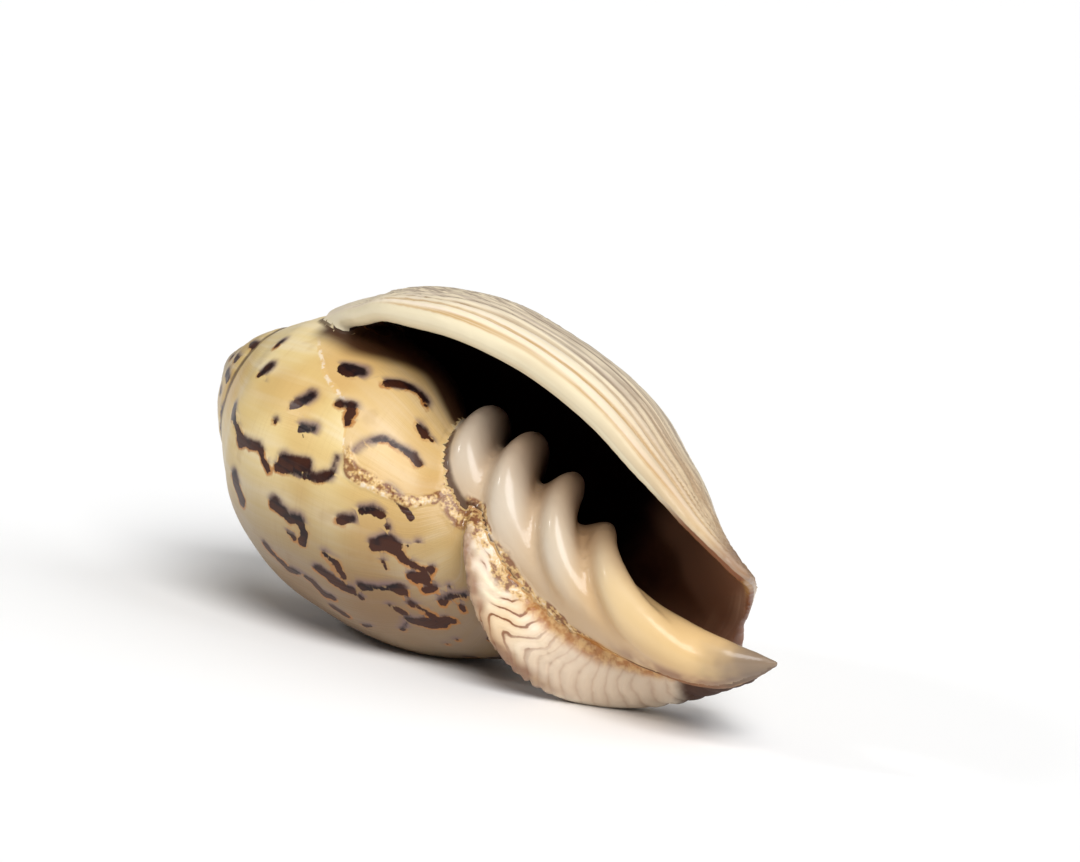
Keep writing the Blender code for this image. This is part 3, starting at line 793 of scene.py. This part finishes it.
def shell_material(c):
    """The shell's whole surface in its colours, zone by zone."""
    material = bpy.data.materials.new("volute surface")
    material.use_nodes = True
    surface = material.node_tree.nodes["Principled BSDF"]
    m = Maker(material.node_tree)
    f = SimpleNamespace(**{name: m.out(m.node("ShaderNodeAttribute", {"attribute_name": name}), "Fac")
                           for name in FIELDS})
    spot = m.node("ShaderNodeTexCoord").outputs["Object"]
    along, _, up = m.parts(spot)
    shared_noises(m, f, spot)
    f.lines = m.noise(m.vector(f.behind_mm, f.share * 2, 9.0), 2.0, 2.0, 0.6)
    f.threads = m.noise(m.vector(f.behind_lip * 60, f.share * 100, 3.0), 2.2, 1.0, 0.6)
    crust, f.from_edge, f.bare = crust_of(m, f)
    within = m.step(*ZONE_EDGE, f.inside)
    pillar = m.step(*ZONE_EDGE, f.columella)
    outside = (1 - within) * (1 - pillar)

    # Painted shade, partly stain: the body darkens to cocoa and umber towards the floor and towards one end.
    browned_and_shaded = m.high(m.step(25 * MM, 7 * MM, up) * 0.74, m.step(-33 * MM, -42 * MM, along) * 0.5)
    body = marked(m, f, c, m.mix(browned_and_shaded, body_colour(m, f, c), m.mix(0.5, c.cocoa, c.umber)))
    seam = m.step(0.75, 0.35, f.suture + (f.mid - 0.5) * 0.5)
    on_fasciole = m.step(0.825, 0.85, f.share) * m.step(-0.95, -0.86, f.growth) * outside
    crease = m.step(0.036, 0.012, abs(f.share - 0.828)) * m.step(-0.9, -0.82, f.growth) * outside
    by_lip = m.step(14.0, 9.0, lip_layers(m, f)[0]) * m.step(-0.5, -0.4, f.growth)
    by_lip = by_lip * m.step(0.85, 0.78, f.share)
    rim = m.step(1.0 * MM, 0.6 * MM, f.behind_lip) * (1 - pillar) * m.step(0.74, 0.62, f.share)
    rim = rim * (1 - m.step(0.3, 0.6, f.inside) * m.step(0.58, 0.66, f.share))
    worn = outside * m.step(0.8, 0.76, f.share) * m.step(16 * MM, 9 * MM, f.behind_lip)

    # The callus: an amber groove along the columella, and a rough glazed crust where it starts, its pearl
    # flecks painted glints.
    crusty = f.fine * 0.65 + f.mid * 0.35
    low = m.step(-0.76, -0.7, f.growth) * m.step(0.72, 0.8, f.share) * (1 - pillar)
    low = low + pillar * m.step(0.55, 0.62, f.share)
    groove = m.step(2.3, 0.7, f.callus + (f.mid - 0.5)) * low * (1 - within)
    crust = crust * (1 - within)
    # Painted glints: pearl flecks in the crust, over gold and russet.
    specks_and_glints = m.mix(m.step(0.5, 0.64, crusty), c.gold, c.pearl)
    specks_and_glints = m.mix(m.step(0.53, 0.42, crusty), specks_and_glints, c.russet)
    # Painted shadow: a dark umber line where the first plait meets the wall.
    joint = m.step(0.05, 0.0, f.share - 0.6 + 0.15 * f.columella) * m.step(0.3, 0.36, f.share)

    base = m.layered(
        body, (seam * 0.8, c.umber), (on_fasciole, fasciole_colour(m, f, c)), (crease * 0.8, c.russet),
        (by_lip * outside, lip_colour(m, f, c)), (within, canal_colour(m, f, c)),
        (pillar, columella_colour(m, f, c, along)),
        (rim, m.mix(m.step(0.5, 0.62, f.bands) * 0.4, c.rim, c.ochre)),
        (worn * m.step(0.4, 0.64, f.share) * 0.6, m.mix(0.5, c.amber, c.slate)),
        (worn * m.step(0.66, 0.72, f.share) * 0.7, c.cocoa),
        (groove * 0.9, m.mix(m.step(0.4, 0.6, crusty), c.orange, c.amber)),
        (m.step(0.15, 0.7, crust) * 0.85, specks_and_glints), (joint * m.step(1.1, 0.5, f.callus) * 0.85, c.umber))
    front = m.step(-0.47, -0.41, f.growth) * m.step(0.82, 0.86, f.share) * outside
    dull = m.high(front, pillar * m.step(0.96, 1.04, f.share))
    height = f.lines * outside * 0.5 + crusty * crust * 9 + f.mid * pillar * 1.6
    bump = m.node("ShaderNodeBump", None, {"Strength": 0.3, "Distance": 0.0003, "Height": height})
    for name, value in (("Base Color", base), ("Roughness", 0.24 + 0.2 * f.coarse + 0.35 * dull),
                        ("Specular IOR Level", 0.25), ("Coat Roughness", 0.1),
                        ("Coat Weight", (0.05 + 0.3 * m.high(pillar, crust)) * (1 - dull)),
                        ("Normal", bump.outputs["Normal"])):
        m.feed(surface.inputs[name], value)
    return material


def read(mesh, name):
    """One of a mesh's named numbers."""
    values = np.empty(len(mesh.vertices), dtype=np.float32)
    mesh.attributes[name].data.foreach_get("value", values)
    return values.astype(float)


def write(mesh, name, values):
    """Store named numbers on a mesh."""
    made = mesh.attributes.new(name, "FLOAT", "POINT")
    made.data.foreach_set("value", values.astype(np.float32))


def places(mesh):
    """Where a mesh's vertices lie."""
    spots = np.empty(len(mesh.vertices) * 3)
    mesh.vertices.foreach_get("co", spots)
    return spots.reshape(-1, 3)


def distance_to(spots, goals, reach):
    """For each spot the distance (mm) to the nearest of some goals, up to a reach (mm)."""
    tree = KDTree(len(goals))
    for k, goal in enumerate(goals):
        tree.insert(goal, k)
    tree.balance()
    away = [tree.find(spot)[2] for spot in spots]
    return np.minimum(np.array(away) / MM, reach)


def seam_fields(obj):
    """Distances (mm) to the suture, where two whorls meet, and to the callus line along the columella."""
    mesh = obj.data
    spots = places(mesh)
    growth, outer, wall = read(mesh, "growth"), read(mesh, "inside") < 0.5, read(mesh, "columella") < 0.5
    ends = np.empty(len(mesh.edges) * 2, dtype=np.int32)
    mesh.edges.foreach_get("vertices", ends)
    a, b = ends.reshape(-1, 2).T
    middle = (spots[a] + spots[b]) / 2
    both_outer = outer[a] & outer[b]
    whorls = both_outer & wall[a] & wall[b] & (abs(growth[a] - growth[b]) > WHORLS_APART)
    joint = both_outer & (wall[a] != wall[b]) & (np.where(wall[a], growth[a], growth[b]) > -1.0)
    write(mesh, "suture", distance_to(spots, middle[whorls], SUTURE_REACH))
    write(mesh, "callus", distance_to(spots, middle[joint], CALLUS_REACH))


def near_strokes():
    """The marks of the table, in mm, turns and shares."""
    return [(width / 100, [(-before / 1000, share / 1000) for before, share in path])
            for width, *path in STROKES]


def far_strokes():
    """More marks in the same manner where the shell turns away: broken zigzag bands and loose spots."""
    dice = random.Random(DICE_SEED)
    made = []
    for band in range(*BANDS):
        share = BAND_SHARES[0]
        while share < BAND_SHARES[1]:
            run = dice.uniform(0.03, 0.12)
            turns = band / 100 + dice.uniform(-0.012, 0.012)
            path = [(turns + (ZIGZAG if k % 2 else -ZIGZAG), share + run * k / 3) for k in range(4)]
            if dice.random() < BAND_SHOWS:
                made.append((dice.uniform(0.35, 0.9), path))
            share += run + dice.uniform(0.015, 0.09)
    for _ in range(LOOSE_SPOTS):
        turns, share = dice.uniform(-0.6, -0.04), dice.uniform(0.06, 0.76)
        wide = dice.uniform(0.2, 0.7)
        made.append((wide, [(turns, share), (turns + dice.uniform(-0.006, 0.006), share + 0.012)]))
    for _ in range(SPIRE_SPOTS):
        turns, share = dice.uniform(-2.6, -1.02), dice.uniform(0.03, 0.28)
        made.append((0.75 * EXPANSION ** (turns + 1), [(turns, share), (turns + 0.008, share + 0.02)]))
    return made


def stroke_fields(obj, name, strokes):
    """For each vertex, how far (mm) inside the nearest mark it is, and how far (mm) on the older side."""
    mesh = obj.data
    spots = places(mesh)
    growth, share = read(mesh, "growth"), read(mesh, "share")
    outer = (read(mesh, "inside") < 0.5) & (read(mesh, "columella") < 0.5)
    depth = np.full(len(spots), UNMARKED)
    older = np.zeros(len(spots))
    chosen = np.flatnonzero(outer)
    spots, growth, share = spots[chosen], growth[chosen], share[chosen]
    best, side = depth[chosen], older[chosen]
    for half_width, path in strokes:
        ways = [spots[np.argmin((growth - turns) ** 2 * GROWTH_WEIGHT + (share - at) ** 2)]
                for turns, at in path]
        near = np.abs(growth - path[0][0]) < MARK_TURNS
        for (turns, at), start, end in zip(path, ways, ways[1:] or ways):
            run = end - start
            along = np.clip((spots - start) @ run / max(run @ run, 1e-12), 0, 1)
            away = np.linalg.norm(spots - (start + along[:, None] * run), axis=1) / MM
            inner = np.where(near, half_width - away, UNMARKED)
            better = inner > best
            best = np.where(better, inner, best)
            side = np.where(better, (turns - growth) * TURN_LENGTH / MM, side)
    depth[chosen] = best
    older[chosen] = side
    write(mesh, name, depth)
    write(mesh, name + "_older", older)


def hang_lamp(name, direction, strength, spread):
    """A soft far lamp that shines from a direction, with its spread in degrees."""
    lamp = bpy.data.lights.new(name, "SUN")
    lamp.energy = strength
    lamp.angle = math.radians(spread)
    obj = bpy.data.objects.new(name, lamp)
    obj.rotation_euler = Vector(direction).to_track_quat("Z", "Y").to_euler()
    bpy.context.scene.collection.objects.link(obj)


def lay_floor():
    """A wide pale floor under the shell."""
    material = bpy.data.materials.new("pale floor")
    material.use_nodes = True
    surface = material.node_tree.nodes["Principled BSDF"]
    surface.inputs["Base Color"].default_value = FLOOR_COLOUR
    surface.inputs["Roughness"].default_value = FLOOR_ROUGHNESS
    bm = bmesh.new()
    bmesh.ops.create_grid(bm, x_segments=1, y_segments=1, size=FLOOR_SIZE)
    mesh = bpy.data.meshes.new("floor")
    bm.to_mesh(mesh)
    bm.free()
    mesh.materials.append(material)
    floor = bpy.data.objects.new("floor", mesh)
    bpy.context.scene.collection.objects.link(floor)
    return floor


def aim_camera():
    """The camera stands in front of the aperture and a little above it, and leans slightly."""
    lens = bpy.data.cameras.new("camera")
    lens.lens = LENS
    lens.sensor_width = SENSOR
    lens.dof.use_dof = False
    camera = bpy.data.objects.new("camera", lens)
    place, target = Vector(CAMERA_PLACE), Vector(CAMERA_TARGET)
    aimed = (target - place).to_track_quat("-Z", "Y").to_matrix()
    lean = Matrix.Rotation(math.radians(CAMERA_LEAN), 3, "Z")
    camera.matrix_world = Matrix.Translation(place) @ (aimed @ lean).to_4x4()
    bpy.context.scene.collection.objects.link(camera)
    bpy.context.scene.camera = camera


def length(name, description, value):
    """A length that a user can change."""
    return FloatProperty(name=name, description=description, default=value, unit="LENGTH")


def ratio(name, description, value):
    """A plain number that a user can change."""
    return FloatProperty(name=name, description=description, default=value)


def count(name, description, value):
    """A whole number that a user can change."""
    return IntProperty(name=name, description=description, default=value)


def colour(name, description, value):
    """A colour that a user can change."""
    return FloatVectorProperty(name=name, description=description, subtype="COLOR", size=3, default=value)


class VoluteSizes(bpy.types.PropertyGroup):
    """The shell's sizes."""
    expansion: ratio("Expansion", "Growth in one turn", EXPANSION)
    front_quickening: ratio("Front quickening", "How much faster the front end grows than the suture", 1.56)
    suture_drop: length("Suture drop", "From the tip to the suture at the lip", 17.8 * MM)
    front_drop: length("Front drop", "From the tip to the front end at the lip", 112.5 * MM)
    wall: length("Wall", "Thickness of the wall", 2.4 * MM)
    lip_swelling: ratio("Lip swelling", "Extra thickness at the lip, as a share of the wall's", 0.45)
    suture_step: length("Suture step", "Ledge below the suture", 1.2 * MM)
    fasciole: ratio("Fasciole", "Scale of the swollen band", 1.0)
    plaits: ratio("Plaits", "Scale of the columella's plaits", 1.0)
    columns: count("Columns", "Mesh columns along the coil", 500)
    rows: count("Rows", "Mesh rows round the wall", 321)
    columella_segments: count("Columella segments", "Mesh segments round the columella", 160)
    columella_rings: count("Columella rings", "Mesh rings along the columella", 260)
    skin: length("Skin size", "Grid size of the fused skin", 0.53 * MM)
    lamella_height: length("Lamella height", "Height of the fasciole's lamellae", 0.42 * MM)
    lip_layer_height: length("Lip layer height", "Height of the layers behind the lip", 0.44 * MM)
    rest_height: length("Rest height", "Height of the old growth rests", 0.16 * MM)
    callus_height: length("Callus height", "Height of the callus margin", 0.3 * MM)


class VoluteColours(bpy.types.PropertyGroup):
    """The shell's colours."""
    buff: colour("Buff", "Main colour of the body", (0.67, 0.47, 0.18))
    cream: colour("Cream", "Lighter clouds of the body", (0.80, 0.63, 0.31))
    pale: colour("Pale", "Palest growth bands", (0.84, 0.73, 0.53))
    ochre: colour("Ochre", "Darker growth lines and stains", (0.48, 0.28, 0.10))
    amber: colour("Amber", "Warm parietal wall and hollows of the columella", (0.62, 0.37, 0.14))
    gold: colour("Gold", "Glints of the callus", (0.70, 0.46, 0.18))
    honey: colour("Honey", "Front of the columella", (0.76, 0.55, 0.28))
    maroon: colour("Maroon", "Dark cores of the marks", (0.010, 0.003, 0.004))
    umber: colour("Umber", "Brown parts of the marks and the front end", (0.05, 0.014, 0.006))
    purple: colour("Purple", "Older margins of the marks", (0.19, 0.12, 0.12))
    orange: colour("Orange", "Younger margins of the marks", (0.40, 0.15, 0.03))
    russet: colour("Russet", "Chevrons and the callus line", (0.20, 0.065, 0.02))
    tan: colour("Tan", "Stained lamellae and lip corner", (0.42, 0.25, 0.13))
    pink: colour("Pink", "Crests of the plaits", (0.64, 0.54, 0.42))
    fawn: colour("Fawn", "Hollows between the plaits", (0.58, 0.43, 0.28))
    rosy: colour("Rosy", "Valleys of the lamellae", (0.55, 0.36, 0.26))
    pearl: colour("Pearl", "Crests of the lamellae and lip layers", (0.84, 0.72, 0.57))
    slate: colour("Slate", "Grey-brown lip layers and the beak's tip", (0.30, 0.23, 0.17))
    rim: colour("Rim", "Rim of the lip", (0.80, 0.70, 0.49))
    mauve: colour("Mauve", "Inside of the canal", (0.55, 0.35, 0.24))
    cocoa: colour("Cocoa", "Darker folds of the canal", (0.22, 0.12, 0.08))


class VOLUTE_OT_shell(bpy.types.Operator):
    """Grow the shell, fuse it, raise its relief, lay it down and mark it"""
    bl_idname = "volute.shell"
    bl_label = "Shell"

    def execute(self, context):
        sizes, colours = context.scene.volute_sizes, context.scene.volute_colours
        titles = (*RULE_NUMBERS, *RULE_COUNTS, *RELIEF_NUMBERS)
        given = {title: getattr(sizes, field(title)) for title in titles}
        given["Material"] = shell_material(SimpleNamespace(**{
            name: (*getattr(colours, name), 1.0) for name in VoluteColours.__annotations__}))
        rule = bpy.data.objects.new("rule", bpy.data.meshes.new("rule"))
        context.scene.collection.objects.link(rule)
        grow_mesh(rule, growth_tree(), given)
        shell = fused(rule, sizes.skin, "volute_shell_skin")
        grow_mesh(shell, carry_tree(), {**given, "Rule": rule})
        bpy.data.objects.remove(rule)
        lay_down(shell)
        seam_fields(shell)
        stroke_fields(shell, "mark", near_strokes() + far_strokes())
        grow_mesh(shell, relief_tree(), given)
        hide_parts(NODE)
        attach(shell, "root")
        if len(shell.data.polygons) < FEWEST_FACES:
            raise RuntimeError("the shell's skin is too coarse")
        return {"FINISHED"}


class VOLUTE_OT_stage(bpy.types.Operator):
    """Lay the floor, hang the lamps and aim the camera"""
    bl_idname = "volute.stage"
    bl_label = "Stage"

    def execute(self, context):
        floor = lay_floor()
        world = context.scene.world or bpy.data.worlds.new("studio")
        context.scene.world = world
        world.use_nodes = True
        sky = world.node_tree.nodes["Background"]
        sky.inputs["Color"].default_value = SKY_COLOUR
        sky.inputs["Strength"].default_value = SKY_STRENGTH
        for lamp in LAMPS:
            hang_lamp(*lamp)
        context.scene.view_settings.view_transform = "Standard"
        aim_camera()
        return {"FINISHED"}


class VOLUTE_PT_panel(bpy.types.Panel):
    """Lists the operators, the sizes and the colours"""
    bl_label = "Volute Shell"
    bl_space_type = "VIEW_3D"
    bl_region_type = "UI"
    bl_category = "Volute"

    def draw(self, context):
        for operator in OPERATORS:
            self.layout.operator(operator.bl_idname)
        for group in (context.scene.volute_sizes, context.scene.volute_colours):
            box = self.layout.box()
            for name in type(group).__annotations__:
                box.prop(group, name)


OPERATORS = (VOLUTE_OT_shell, VOLUTE_OT_stage)
CLASSES = (VoluteSizes, VoluteColours, *OPERATORS, VOLUTE_PT_panel)


def register():
    """Make the classes and their settings known to Blender."""
    for made in CLASSES:
        bpy.utils.register_class(made)
    bpy.types.Scene.volute_sizes = PointerProperty(type=VoluteSizes)
    bpy.types.Scene.volute_colours = PointerProperty(type=VoluteColours)


def unregister():
    """Take the settings and classes away again."""
    del bpy.types.Scene.volute_colours
    del bpy.types.Scene.volute_sizes
    for made in reversed(CLASSES):
        bpy.utils.unregister_class(made)


def main():
    """Make the shell and the stage."""
    register()
    bpy.ops.volute.shell()
    bpy.ops.volute.stage()


if __name__ == "__main__":
    main()
